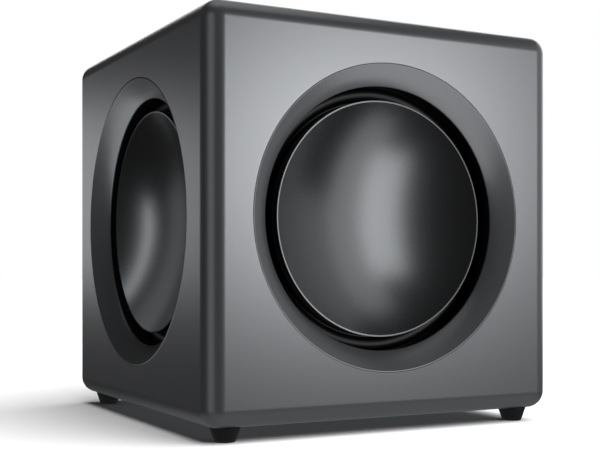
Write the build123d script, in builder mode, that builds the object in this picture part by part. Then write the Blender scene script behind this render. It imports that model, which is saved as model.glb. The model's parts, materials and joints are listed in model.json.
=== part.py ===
"""Compact cube subwoofer: a driven bass unit in front, a passive radiator in each side, an amplifier behind.

Millimetres.  +Z is up and the driven unit looks along -Y.  The origin is on the floor, at the middle of the
whole object's box, knobs and heat sink included.
"""

import os
from math import cos, radians, sin, sqrt

from build123d import *

# ---- Driving dimensions --------------------------------------------------------------------------

# Cabinet
cabinet_width = 280.0
cabinet_depth = 285.0
cabinet_height = 280.0
edge_radius = 13.0
baffle_thickness = 28.0  # front and side panels, which carry the bass units
panel_thickness = 18.0  # top, bottom and rear panels
rear_proud = 15.0  # how far knobs and heat sink stand out of the rear panel

# Feet
foot_height = 10.0
foot_top_radius = 10.5
foot_base_radius = 7.3
foot_edge = 1.0
foot_inset_x = 21.0
foot_inset_y = 19.5
foot_recess_radius = 4.2
foot_recess_depth = 6.0

# Flared trim ring in front of each unit; depths count inwards from the panel's outer face
trim_radius = 107.4
trim_inner_radius = 93.1
trim_depth = 11.8
trim_lip = 1.0
trim_edge = 1.2
trim_skin = 2.2
trim_rim_width = 2.2
trim_lip_radius = 0.4
rebate_clearance = 0.25

# Chassis flange and cup, common to the three units
flange_depth = 13.0
flange_thickness = 3.0
flange_radius = 107.2
cup_radius = 96.5
cup_wall = 1.5
cup_clearance = 0.5
gasket_thickness = 2.0
shelf_thickness = 2.2
shelf_width = 3.8
chassis_skin = 2.5
window_margin = 2.5
spoke_count = 6
window_arc = 42.0

# Fixing screws of the units
unit_screw_count = 8
unit_screw_circle = 101.9
unit_screw_radius = 1.7
unit_screw_head_radius = 2.9
unit_screw_head_height = 2.4
unit_screw_bite = 8.0
screw_hole_clearance = 0.3
pilot_clearance = 0.05

# Moving dish and its rubber surround
rim_depth = 14.25
rim_radius = 83.6
rim_land = 1.2
rim_edge = 0.4
dish_depth = 28.0
dish_skin = 1.5
skirt_wall = 1.6
surround_depth = 30.0
surround_skin = 1.2
roll_inner_radius = 84.3
roll_outer_radius = 94.7
lip_inner_radius = 81.0
lip_edge_gap = 0.1

# Driven unit's voice coil and spider
former_radius = 25.3
former_wall = 0.5
former_start_depth = 52.0
former_end_depth = 94.0
cone_skin = 1.0
cone_neck = 4.0
coil_start_depth = 70.0
coil_end_depth = 92.0
coil_thickness = 1.0
glue_gap = 0.05
spider_skin = 0.8
spider_wave = 1.4
woofer_spider_depth = 60.8
spider_waves = 6
spider_flat = 3.0
spider_neck = 3.0
woofer_spider_radius = 64.0

# Driven unit's chassis rear and magnet system
woofer_ledge_radius = 66.0
woofer_ledge_width = 9.0
woofer_floor_depth = 75.0
woofer_floor_inner_radius = 34.0
top_plate_depth = 78.0
top_plate_thickness = 6.0
top_plate_radius = 55.0
gap_clearance = 0.7
magnet_thickness = 20.0
magnet_radius = 60.0
magnet_inner_radius = 33.0
back_plate_thickness = 8.0
back_plate_radius = 56.0
pole_gap = 0.6
vent_radius = 8.0
plate_chamfer = 1.0

# Passive radiators' hub, mass and spider
hub_radius = 20.5
hub_wall = 2.5
hub_end_depth = 63.0
hub_floor = 3.0
weight_radius = 16.0
weight_thickness = 12.0
weight_stud_radius = 3.0
weight_stud = 6.0
radiator_spider_depth = 56.0
radiator_spider_radius = 53.0
radiator_ledge_radius = 55.0
radiator_ledge_width = 8.0

# Amplifier plate
plate_width = 178.0
plate_height = 228.0
plate_thickness = 3.0
plate_corner = 8.0
plate_gasket = 1.5
plate_clearance = 0.4
cutout_width = 150.0
cutout_height = 200.0
plate_screw_x = 82.0
plate_screw_z = 107.0
plate_screw_mid_z = 36.0
plate_screw_radius = 1.9
plate_screw_head_radius = 3.6
plate_screw_head_height = 1.9
plate_screw_bite = 10.0

# Heat sink on the plate
sink_width = 132.0
sink_height = 56.0
sink_base = 3.0
sink_fins = 17
sink_fin_thickness = 1.8
sink_place = (0.0, -11.0)

# Controls and sockets: places on the plate, from its middle, and sizes
knob_radius = 8.5
knob_height = 14.0
knob_gap = 1.0
knob_cap_chamfer = 0.8
knob_flutes = 18
flute_radius = 0.7
pointer_width = 1.2
pointer_length = 4.5
pointer_depth = 0.5
pointer_offset = 5.3
shaft_radius = 3.0
knob_bore_depth = 11.0
pot_radius = 8.0
pot_depth = 9.0
pot_nose_radius = 4.5
pot_nose_out = 0.6
pot_clearance = 0.05
pot_floor = 1.0
panel_hole_clearance = 0.1
volume_place = (46.0, 88.0)
crossover_place = (10.0, 88.0)
switch_travel = 3.0
slide_window = (8.0, 4.0)
slide_body = (19.0, 9.0, 7.0)
slide_flange = (24.0, 9.0, 1.0)
slide_cavity = (12.0, 5.6, 4.0)
slider_base = (8.4, 5.0, 3.4)
slider_nub = (4.0, 3.4, 5.0)
slider_clearance = 0.3
phase_place = (-26.0, 88.0)
standby_place = (-58.0, 88.0)
led_radius = 2.5
led_depth = 5.0
led_collar = 0.8
led_place = (-42.0, 66.0)
jack_radius = 4.15
jack_length = 9.0
jack_pin_radius = 1.65
jack_pin_depth = 8.0
jack_flange_radius = 6.5
jack_flange = 1.5
jack_body_radius = 4.8
jack_body_depth = 8.0
jack_spacing = 20.0
jack_place = (28.0, 60.0)
jack_count = 3
inlet_place = (-44.0, -84.0)
inlet_flange = (50.0, 28.0, 1.5)
inlet_body = (30.0, 22.0, 22.0)
inlet_mouth = (24.4, 16.6, 17.0)
inlet_corner = 3.5
inlet_blade = (2.0, 4.0, 14.0)
inlet_blade_pitch = 7.0
inlet_blade_offset = 2.2
inlet_blade_tail = 16.0
inlet_screw_x = 20.0
body_cutout_clearance = 0.2
rocker_place = (10.0, -84.0)
rocker_frame = (24.0, 18.0, 1.5)
rocker_body = (20.0, 13.6, 16.0)
rocker_window = (17.0, 11.0)
rocker_tilt = 9.0
rocker_clearance = 0.35
rocker_window_depth = 14.0
rocker_pivot_depth = 1.5
rocker_waist = 1.2
rocker_axle_radius = 1.25
rocker_axle_reach = 6.3
rocker_tag = 5.0
rocker_axle_clearance = 0.05

# Electronics inside
board_width = 128.0
board_height = 64.0
board_thickness = 1.6
board_gap = 14.0
board_place = (0.0, 45.0)
standoff_radius = 3.0
standoff_inset = 5.0
board_screw_radius = 1.5
capacitor_radius = 10.0
capacitor_height = 30.0
capacitor_pitch = 25.0
capacitor_count = 4
capacitor_z = -18.0
choke_radius = 11.0
choke_height = 14.0
choke_place = (46.0, 14.0)
relay_size = (15.0, 20.0, 12.0)
relay_place = (-40.0, 14.0)
transformer_radius = 32.0
transformer_hole = 11.0
transformer_height = 34.0
transformer_round = 7.0
transformer_place = (42.0, -46.0)
transformer_washer_radius = 20.0
transformer_washer = 2.5
transformer_bolt_radius = 3.0
transformer_nut_radius = 5.0
transformer_nut = 4.0
terminal_size = (26.0, 7.0, 4.0)
terminal_blade = (4.8, 0.8, 7.0)
terminal_pitch = 14.0
wire_radius = 1.3
lead_bend = 9.0
mains_lead_reach = 24.0
mains_lead_step = 6.0
speaker_lead_run = 30.0
speaker_lead_middle = 75.0
speaker_lead_sag = 12.0
speaker_lead_spread = 4.0
speaker_lead_rise = 2.0
wadding_thickness = 10.0
wadding_size = (200.0, 180.0)

# ---- Values worked out from these ----------------------------------------------------------------

front_y = -(cabinet_depth + rear_proud) / 2
rear_y = front_y + cabinet_depth
middle_y = (front_y + rear_y) / 2
base_z = foot_height
top_z = base_z + cabinet_height
middle_z = (base_z + top_z) / 2
side_x = cabinet_width / 2

lip_radius = trim_radius - trim_lip
trim_slope = trim_depth / (lip_radius - trim_inner_radius)
trim_drop = trim_skin * sqrt(1 + trim_slope**2)
rebate_radius = trim_radius + rebate_clearance
gasket_depth = flange_depth + flange_thickness
seat_depth = gasket_depth + gasket_thickness
cup_outer_radius = cup_radius + cup_wall
hole_radius = cup_outer_radius + cup_clearance
shelf_depth = surround_depth + surround_skin
shelf_end_depth = shelf_depth + shelf_thickness
shelf_inner_radius = cup_radius - shelf_width
cone_edge_depth = shelf_depth

bowl_radius = rim_radius - rim_land
bowl_sphere = (bowl_radius**2 + dish_depth**2) / (2 * dish_depth)
bowl_bottom = rim_depth + dish_depth
back_sphere = bowl_sphere + dish_skin
skirt_inner_radius = rim_radius - skirt_wall

former_outer_radius = former_radius + former_wall
coil_inner_radius = former_outer_radius + glue_gap
coil_outer_radius = coil_inner_radius + coil_thickness
woofer_ledge_depth = woofer_spider_depth + spider_skin
magnet_depth = top_plate_depth + top_plate_thickness
back_plate_depth = magnet_depth + magnet_thickness
back_plate_end = back_plate_depth + back_plate_thickness
radiator_ledge_depth = radiator_spider_depth + spider_skin

plate_screw_length = plate_thickness + plate_gasket + plate_screw_bite
unit_screw_length = flange_thickness + gasket_thickness + unit_screw_bite
front_face = Plane(origin=(0, front_y, middle_z), x_dir=(1, 0, 0), z_dir=(0, -1, 0))
left_face = Plane(origin=(-side_x, middle_y, middle_z), x_dir=(0, -1, 0), z_dir=(-1, 0, 0))
right_face = Plane(origin=(side_x, middle_y, middle_z), x_dir=(0, 1, 0), z_dir=(1, 0, 0))
rear_face = Plane(origin=(0, rear_y, middle_z), x_dir=(-1, 0, 0), z_dir=(0, 1, 0))
faces = {"woofer": front_face, "left_radiator": left_face, "right_radiator": right_face}


def bowl_depth(radius):
    """Depth of the dish's hollow face at a radius."""
    return bowl_bottom - bowl_sphere + sqrt(bowl_sphere**2 - radius**2)


def back_depth(radius):
    """Depth of the dish's rear surface at a radius."""
    return bowl_bottom - bowl_sphere + sqrt(back_sphere**2 - radius**2)


def section(face):
    """The plane through a unit's axis: X is the radius, Y points out of the panel."""
    return Plane(origin=face.origin, x_dir=face.x_dir, z_dir=face.x_dir.cross(face.z_dir))


def axis(face):
    return Axis(face.origin, face.z_dir)


def on_rear(place, out=0.0):
    """A plane that looks out of the rear face, at a place (x, z) from the amplifier plate's middle."""
    x, z = place
    return Plane(origin=(x, rear_y + out, middle_z + z), x_dir=(-1, 0, 0), z_dir=(0, 1, 0))


def turned(outline, face):
    """A solid of revolution about a unit's axis, from points (radius, depth)."""
    with BuildPart() as piece:
        with BuildSketch(section(face)):
            with BuildLine():
                Polyline(*[(radius, -depth) for radius, depth in outline], close=True)
            make_face()
        revolve(axis=axis(face))
    return piece.part


def bolt(plane, head_radius, head_height, radius, length):
    """A screw whose head sits on a plane and whose shank runs in behind it."""
    with BuildPart() as piece:
        with BuildSketch(plane):
            Circle(head_radius)
        extrude(amount=head_height)
        fillet(piece.edges().filter_by(GeomType.CIRCLE).sort_by(Axis(plane.origin, plane.z_dir))[-1:],
               head_height / 3)
        with BuildSketch(plane):
            Circle(radius)
        extrude(amount=-length)
    return piece.part


def save(part, name):
    part.label = name
    export_step(part, f"parts/{name}.step")


os.makedirs("parts", exist_ok=True)

# ---- Cabinet: six panels, glued, with rounded edges ----------------------------------------------

with BuildPart(Plane.XY.offset(base_z)) as rounded_block:
    with Locations((0, middle_y, 0)):
        Box(cabinet_width, cabinet_depth, cabinet_height, align=(Align.CENTER, Align.CENTER, Align.MIN))
    fillet(rounded_block.edges(), edge_radius)


def panel(low, high):
    """The part of the rounded block between two corners."""
    centre = tuple((a + b) / 2 for a, b in zip(low, high))
    with BuildPart() as piece:
        add(rounded_block.part)
        with Locations(centre):
            Box(*[b - a for a, b in zip(low, high)], mode=Mode.INTERSECT)
    return piece.part


def unit_seat(slab, face):
    """Cuts the rebate, the hole and the screws' pilot holes of one unit in a panel."""
    with BuildPart() as piece:
        add(slab)
        with BuildSketch(face):
            Circle(rebate_radius)
        extrude(amount=-seat_depth, mode=Mode.SUBTRACT)
        with BuildSketch(face):
            Circle(hole_radius)
        extrude(amount=-baffle_thickness, mode=Mode.SUBTRACT)
        with BuildSketch(face.offset(-seat_depth)):
            with PolarLocations(unit_screw_circle, unit_screw_count):
                Circle(unit_screw_radius + pilot_clearance)
        extrude(amount=-unit_screw_bite, mode=Mode.SUBTRACT)
    return piece.part


x_in = side_x - baffle_thickness
y_front_in = front_y + baffle_thickness
y_rear_in = rear_y - panel_thickness
z_low_in = base_z + panel_thickness
z_high_in = top_z - panel_thickness

save(panel((-side_x, front_y, z_high_in), (side_x, rear_y, top_z)), "top_panel")

foot_places = [
    (sx * (side_x - foot_inset_x), middle_y + sy * (cabinet_depth / 2 - foot_inset_y))
    for sx in (-1, 1)
    for sy in (-1, 1)
]
with BuildPart() as bottom_panel:
    add(panel((-side_x, front_y, base_z), (side_x, rear_y, z_low_in)))
    with BuildSketch(Plane.XY.offset(base_z)):
        with Locations(*foot_places):
            Circle(unit_screw_radius + pilot_clearance)
    extrude(amount=unit_screw_bite, mode=Mode.SUBTRACT)
save(bottom_panel.part, "bottom_panel")

front_slab = panel((-side_x, front_y, z_low_in), (side_x, y_front_in, z_high_in))
save(unit_seat(front_slab, front_face), "front_baffle")
left_slab = panel((-side_x, y_front_in, z_low_in), (-x_in, y_rear_in, z_high_in))
save(unit_seat(left_slab, left_face), "left_panel")
right_slab = panel((x_in, y_front_in, z_low_in), (side_x, y_rear_in, z_high_in))
save(unit_seat(right_slab, right_face), "right_panel")

plate_screw_places = [
    (x, z)
    for x in (-plate_screw_x, plate_screw_x)
    for z in (-plate_screw_z, -plate_screw_mid_z, plate_screw_mid_z, plate_screw_z)
] + [(0, -plate_screw_z), (0, plate_screw_z)]

with BuildPart() as rear_panel:
    add(panel((-side_x, y_rear_in, z_low_in), (side_x, rear_y, z_high_in)))
    with BuildSketch(rear_face):
        RectangleRounded(
            plate_width + 2 * plate_clearance, plate_height + 2 * plate_clearance,
            plate_corner + plate_clearance
        )
    extrude(amount=-(plate_thickness + plate_gasket), mode=Mode.SUBTRACT)
    with BuildSketch(rear_face):
        RectangleRounded(cutout_width, cutout_height, plate_corner)
    extrude(amount=-panel_thickness, mode=Mode.SUBTRACT)
    with BuildSketch(rear_face.offset(-(plate_thickness + plate_gasket))):
        with Locations(*plate_screw_places):
            Circle(plate_screw_radius + pilot_clearance)
    extrude(amount=-plate_screw_bite, mode=Mode.SUBTRACT)
save(rear_panel.part, "rear_panel")

# ---- Feet ----------------------------------------------------------------------------------------

with BuildPart() as rubber_feet:
    for x, y in foot_places:
        bore = unit_screw_radius + screw_hole_clearance
        with BuildSketch(Plane(origin=(x, y, 0), x_dir=(1, 0, 0), z_dir=(0, -1, 0))):
            with BuildLine():
                Polyline(
                    (bore, foot_recess_depth),
                    (foot_recess_radius, foot_recess_depth),
                    (foot_recess_radius, 0),
                    (foot_base_radius - foot_edge, 0),
                    (foot_base_radius, foot_edge),
                    (foot_top_radius, foot_height),
                    (bore, foot_height),
                    close=True,
                )
            make_face()
        revolve(axis=Axis((x, y, 0), (0, 0, 1)))
save(rubber_feet.part, "rubber_feet")

# ---- What the three bass units share: trim ring, gasket, surround and dish -----------------------


def trim_underside(radius):
    """Depth of the trim ring's hidden face at a radius."""
    return trim_drop + (lip_radius - radius) * trim_slope


def unit_holes(face, radius, depth, length):
    """A ring of screw holes, to be cut from a unit's piece."""
    with BuildPart() as piece:
        with BuildSketch(face.offset(-depth)):
            with PolarLocations(unit_screw_circle, unit_screw_count):
                Circle(radius)
        extrude(amount=-length)
    return piece.part


trim_end = trim_depth + trim_edge
trim_wall_radius = trim_radius - trim_rim_width
wood_screws = []

for unit, face in faces.items():
    with BuildPart() as trim_ring:
        add(turned([
            (trim_radius, 0),
            (lip_radius, 0),
            (trim_inner_radius, trim_depth),
            (trim_inner_radius, trim_end),
            (lip_radius - (trim_end - trim_drop) / trim_slope, trim_end),
            (trim_wall_radius, trim_underside(trim_wall_radius)),
            (trim_wall_radius, flange_depth),
            (trim_radius, flange_depth),
        ], face))
        fillet(trim_ring.edges().filter_by(GeomType.CIRCLE).sort_by(axis(face))[-2:], trim_lip_radius)
    save(trim_ring.part, f"{unit}_trim_ring")

    # One half roll of rubber, with a lip inside for the dish and a land outside for the chassis.
    roll_middle = (roll_inner_radius + roll_outer_radius) / 2
    roll_radius = (roll_outer_radius - roll_inner_radius) / 2
    hollow = roll_radius - surround_skin
    with BuildPart() as surround:
        with BuildSketch(section(face)):
            with BuildLine():
                top = -surround_depth
                low = -shelf_depth
                Polyline((roll_middle - hollow, top), (roll_middle - hollow, low), (lip_inner_radius, low),
                         (lip_inner_radius, top), (roll_inner_radius, top))
                ThreePointArc((roll_inner_radius, top), (roll_middle, top + roll_radius),
                              (roll_outer_radius, top))
                Polyline((roll_outer_radius, top), (cup_radius - lip_edge_gap, top),
                         (cup_radius - lip_edge_gap, low), (roll_middle + hollow, low),
                         (roll_middle + hollow, top))
                ThreePointArc((roll_middle + hollow, top), (roll_middle, top + hollow),
                              (roll_middle - hollow, top))
            make_face()
        revolve(axis=axis(face))
    save(surround.part, f"{unit}_surround")

    # A spherical hollow with a straight skirt that stands on the surround's lip.
    with BuildPart() as dish:
        with BuildSketch(section(face)):
            with BuildLine():
                Polyline((0, -bowl_depth(0)), (0, -back_depth(0)))
                ThreePointArc((0, -back_depth(0)),
                              (skirt_inner_radius / 2, -back_depth(skirt_inner_radius / 2)),
                              (skirt_inner_radius, -back_depth(skirt_inner_radius)))
                Polyline((skirt_inner_radius, -back_depth(skirt_inner_radius)),
                         (skirt_inner_radius, -surround_depth), (rim_radius, -surround_depth),
                         (rim_radius, -rim_depth - rim_edge), (rim_radius - rim_edge, -rim_depth),
                         (bowl_radius, -rim_depth))
                ThreePointArc((bowl_radius, -rim_depth), (bowl_radius / 2, -bowl_depth(bowl_radius / 2)),
                              (0, -bowl_depth(0)))
            make_face()
        revolve(axis=axis(face))
    save(dish.part, f"{unit}_dish")

    for place in PolarLocations(unit_screw_circle, unit_screw_count).locations:
        spot = face.offset(-flange_depth).location * place
        wood_screws.append(bolt(Plane(spot), unit_screw_head_radius, unit_screw_head_height,
                                unit_screw_radius, unit_screw_length))

with BuildPart() as unit_gaskets:
    for face in faces.values():
        with BuildSketch(face.offset(-gasket_depth)):
            Circle(flange_radius)
            Circle(hole_radius, mode=Mode.SUBTRACT)
            with PolarLocations(unit_screw_circle, unit_screw_count):
                Circle(unit_screw_radius + screw_hole_clearance, mode=Mode.SUBTRACT)
        extrude(amount=-gasket_thickness)
save(unit_gaskets.part, "unit_gaskets")

for x, y in foot_places:
    spot = Plane(origin=(x, y, foot_recess_depth), x_dir=(1, 0, 0), z_dir=(0, 0, -1))
    wood_screws.append(bolt(spot, unit_screw_head_radius, unit_screw_head_height, unit_screw_radius,
                            foot_height - foot_recess_depth + unit_screw_bite))
save(Compound(children=wood_screws), "wood_screws")

# ---- Chassis of the units ------------------------------------------------------------------------


def chassis(face, outline, ledge_depth):
    """A turned chassis with windows between its spokes, down to its ledge, and holes for its screws."""
    first = shelf_end_depth + window_margin
    last = ledge_depth - window_margin
    reach = 2 * cup_outer_radius
    half = radians(window_arc / 2)
    with BuildPart() as piece:
        add(turned(outline, face))
        with BuildSketch(face.offset(-first)):
            with PolarLocations(0, spoke_count):
                Polygon((0, 0), (reach * cos(half), -reach * sin(half)),
                        (reach * cos(half), reach * sin(half)), align=None)
        extrude(amount=-(last - first), mode=Mode.SUBTRACT)
        add(unit_holes(face, unit_screw_radius + screw_hole_clearance, flange_depth, flange_thickness),
            mode=Mode.SUBTRACT)
    return piece.part


def cup_outline(ledge_radius, ledge_depth):
    """The wall from the spider's ledge out to the flange and back in to the ledge, as (radius, depth)."""
    return [
        (ledge_radius + chassis_skin, ledge_depth + chassis_skin),
        (cup_outer_radius, shelf_end_depth),
        (cup_outer_radius, gasket_depth),
        (flange_radius, gasket_depth),
        (flange_radius, flange_depth),
        (cup_radius, flange_depth),
        (cup_radius, shelf_depth),
        (shelf_inner_radius, shelf_depth),
        (shelf_inner_radius, shelf_end_depth),
        (ledge_radius, ledge_depth),
    ]


woofer_throat = woofer_ledge_radius - woofer_ledge_width
woofer_basket = chassis(front_face, cup_outline(woofer_ledge_radius, woofer_ledge_depth) + [
    (woofer_throat, woofer_ledge_depth),
    (woofer_throat, woofer_floor_depth),
    (woofer_floor_inner_radius, woofer_floor_depth),
    (woofer_floor_inner_radius, top_plate_depth),
    (woofer_throat + chassis_skin, top_plate_depth),
    (woofer_throat + chassis_skin, woofer_ledge_depth + chassis_skin),
], woofer_ledge_depth)
save(woofer_basket, "woofer_basket")

radiator_throat = radiator_ledge_radius - radiator_ledge_width
for unit in ("left_radiator", "right_radiator"):
    frame = chassis(faces[unit], cup_outline(radiator_ledge_radius, radiator_ledge_depth) + [
        (radiator_throat, radiator_ledge_depth),
        (radiator_throat, radiator_ledge_depth + chassis_skin),
    ], radiator_ledge_depth)
    save(frame, f"{unit}_basket")

# ---- Spiders: corrugated cloth discs, glued to a ledge outside and to a tube inside --------------


def spider(face, inner_radius, throat, outer_radius, depth):
    """A neck, a flat, a run of half waves and a flat rim."""
    neck_inner = inner_radius + glue_gap
    wave_start = neck_inner + spider_flat
    pitch = (throat - wave_start) / spider_waves
    with BuildPart() as piece:
        with BuildSketch(section(face)):
            with BuildLine():
                for side in (0, spider_skin):
                    for i in range(spider_waves):
                        start = wave_start + i * pitch
                        swell = spider_wave if i % 2 else -spider_wave
                        ThreePointArc((start, -depth - side), (start + pitch / 2, -depth - side + swell),
                                      (start + pitch, -depth - side))
                Polyline((throat, -depth), (outer_radius, -depth), (outer_radius, -depth - spider_skin),
                         (throat, -depth - spider_skin))
                Polyline((wave_start, -depth), (neck_inner, -depth), (neck_inner, -depth - spider_neck),
                         (neck_inner + spider_skin, -depth - spider_neck),
                         (neck_inner + spider_skin, -depth - spider_skin), (wave_start, -depth - spider_skin))
            make_face()
        revolve(axis=axis(face))
    return piece.part


save(spider(front_face, former_outer_radius, woofer_throat, woofer_spider_radius, woofer_spider_depth),
     "woofer_spider")
for unit in ("left_radiator", "right_radiator"):
    save(spider(faces[unit], hub_radius, radiator_throat, radiator_spider_radius, radiator_spider_depth),
         f"{unit}_spider")

# ---- Driven unit: cone, voice coil, magnet system and terminals ----------------------------------

with BuildPart() as woofer_cone:
    fall = (former_start_depth - cone_edge_depth) / (lip_inner_radius - coil_inner_radius)
    add(turned([
        (roll_inner_radius, cone_edge_depth),
        (lip_inner_radius, cone_edge_depth),
        (coil_inner_radius, former_start_depth),
        (coil_inner_radius, former_start_depth + cone_neck),
        (coil_inner_radius + cone_skin, former_start_depth + cone_neck),
        (coil_inner_radius + cone_skin, former_start_depth + cone_skin - cone_skin * fall),
        (lip_inner_radius, cone_edge_depth + cone_skin),
        (roll_inner_radius, cone_edge_depth + cone_skin),
    ], front_face))
save(woofer_cone.part, "woofer_cone")

save(turned([
    (former_radius, former_start_depth),
    (former_outer_radius, former_start_depth),
    (former_outer_radius, former_end_depth),
    (former_radius, former_end_depth),
], front_face), "voice_coil_former")

save(turned([
    (coil_inner_radius, coil_start_depth),
    (coil_outer_radius, coil_start_depth),
    (coil_outer_radius, coil_end_depth),
    (coil_inner_radius, coil_end_depth),
], front_face), "voice_coil")

save(turned([
    (coil_outer_radius + gap_clearance, top_plate_depth),
    (top_plate_radius, top_plate_depth),
    (top_plate_radius, magnet_depth),
    (coil_outer_radius + gap_clearance, magnet_depth),
], front_face), "magnet_top_plate")

save(turned([
    (magnet_inner_radius, magnet_depth),
    (magnet_radius - plate_chamfer, magnet_depth),
    (magnet_radius, magnet_depth + plate_chamfer),
    (magnet_radius, back_plate_depth - plate_chamfer),
    (magnet_radius - plate_chamfer, back_plate_depth),
    (magnet_inner_radius, back_plate_depth),
], front_face), "magnet_ring")

save(turned([
    (vent_radius, top_plate_depth),
    (former_radius - pole_gap, top_plate_depth),
    (former_radius - pole_gap, back_plate_depth),
    (back_plate_radius, back_plate_depth),
    (back_plate_radius, back_plate_end - plate_chamfer),
    (back_plate_radius - plate_chamfer, back_plate_end),
    (vent_radius, back_plate_end),
], front_face), "pole_and_back_plate")

terminal_z = (woofer_throat + chassis_skin + woofer_ledge_radius + chassis_skin) / 2
terminal_face = front_face.offset(-(woofer_ledge_depth + chassis_skin))
with BuildPart() as woofer_terminals:
    with BuildSketch(terminal_face):
        with Locations((0, terminal_z)):
            Rectangle(terminal_size[0], terminal_size[1])
    extrude(amount=-terminal_size[2])
    with BuildSketch(terminal_face.offset(-terminal_size[2])):
        with Locations((-terminal_pitch / 2, terminal_z), (terminal_pitch / 2, terminal_z)):
            Rectangle(terminal_blade[0], terminal_blade[1])
    extrude(amount=-terminal_blade[2])
save(woofer_terminals.part, "woofer_terminals")

# ---- Passive radiators: hub and tuning weight ----------------------------------------------------

for unit in ("left_radiator", "right_radiator"):
    hub_inner = hub_radius - hub_wall
    floor_depth = hub_end_depth - hub_floor
    save(turned([
        (hub_inner, back_depth(hub_inner) + glue_gap),
        (hub_radius, back_depth(hub_radius) + glue_gap),
        (hub_radius, hub_end_depth),
        (weight_stud_radius + pilot_clearance, hub_end_depth),
        (weight_stud_radius + pilot_clearance, floor_depth),
        (hub_inner, floor_depth),
    ], faces[unit]), f"{unit}_hub")
    save(turned([
        (0, floor_depth - weight_thickness),
        (weight_radius, floor_depth - weight_thickness),
        (weight_radius, floor_depth),
        (weight_stud_radius, floor_depth),
        (weight_stud_radius, floor_depth + weight_stud),
        (0, floor_depth + weight_stud),
    ], faces[unit]), f"{unit}_weight")

# ---- Amplifier plate, its gasket, screws and heat sink -------------------------------------------


def slab(plane, width, height, depth, corner=0.0):
    """A plate that lies behind a plane."""
    with BuildPart() as piece:
        with BuildSketch(plane):
            if corner:
                RectangleRounded(width, height, corner)
            else:
                Rectangle(width, height)
        extrude(amount=-depth)
    return piece.part


jack_places = [(jack_place[0] - i * jack_spacing, jack_place[1]) for i in range(jack_count)]
inlet_screw_places = [(inlet_place[0] + side * inlet_screw_x, inlet_place[1]) for side in (-1, 1)]
screw_hole = plate_screw_radius + screw_hole_clearance
round_holes = [
    (plate_screw_places, screw_hole),
    (inlet_screw_places, screw_hole),
    ([volume_place, crossover_place], pot_nose_radius + panel_hole_clearance),
    ([led_place], led_radius + panel_hole_clearance),
    (jack_places, jack_body_radius + panel_hole_clearance),
    ([transformer_place], transformer_bolt_radius + panel_hole_clearance),
]
square_holes = [
    (phase_place, slide_window, 0.0),
    (standby_place, slide_window, 0.0),
    (inlet_place, inlet_body, body_cutout_clearance),
    (rocker_place, rocker_body, body_cutout_clearance),
]

with BuildPart() as amplifier_plate:
    with BuildSketch(rear_face):
        RectangleRounded(plate_width, plate_height, plate_corner)
    extrude(amount=-plate_thickness)
    for places, radius in round_holes:
        for place in places:
            with BuildSketch(on_rear(place)):
                Circle(radius)
            extrude(amount=-plate_thickness, mode=Mode.SUBTRACT)
    for place, size, clearance in square_holes:
        with BuildSketch(on_rear(place)):
            Rectangle(size[0] + 2 * clearance, size[1] + 2 * clearance)
        extrude(amount=-plate_thickness, mode=Mode.SUBTRACT)
save(amplifier_plate.part, "amplifier_plate")

with BuildPart() as plate_gasket_ring:
    with BuildSketch(rear_face.offset(-plate_thickness)):
        RectangleRounded(plate_width, plate_height, plate_corner)
        RectangleRounded(cutout_width, cutout_height, plate_corner, mode=Mode.SUBTRACT)
        with Locations(*plate_screw_places):
            Circle(screw_hole, mode=Mode.SUBTRACT)
    extrude(amount=-plate_gasket)
save(plate_gasket_ring.part, "plate_gasket")

plate_screws = [
    bolt(on_rear(place, out), plate_screw_head_radius, plate_screw_head_height, plate_screw_radius,
         plate_screw_length)
    for out, places in ((0.0, plate_screw_places), (inlet_flange[2], inlet_screw_places))
    for place in places
]
save(Compound(children=plate_screws), "plate_screws")

with BuildPart() as heat_sink:
    with BuildSketch(on_rear(sink_place)):
        Rectangle(sink_width, sink_height)
    extrude(amount=sink_base)
    fin_pitch = (sink_width - sink_fin_thickness) / (sink_fins - 1)
    with BuildSketch(on_rear(sink_place, sink_base)):
        with GridLocations(fin_pitch, 0, sink_fins, 1):
            Rectangle(sink_fin_thickness, sink_height)
    extrude(amount=rear_proud - sink_base)
save(heat_sink.part, "heat_sink")

# ---- Level and crossover controls ----------------------------------------------------------------


def rear_turned(place, outline):
    """A solid of revolution about a line out of the rear face, from points (radius, distance out)."""
    x, z = place
    axis_origin = (x, rear_y, middle_z + z)
    with BuildPart() as piece:
        with BuildSketch(Plane(origin=axis_origin, x_dir=(1, 0, 0), z_dir=(0, 0, 1))):
            with BuildLine():
                Polyline(*outline, close=True)
            make_face()
        revolve(axis=Axis(axis_origin, (0, 1, 0)))
    return piece.part


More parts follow.
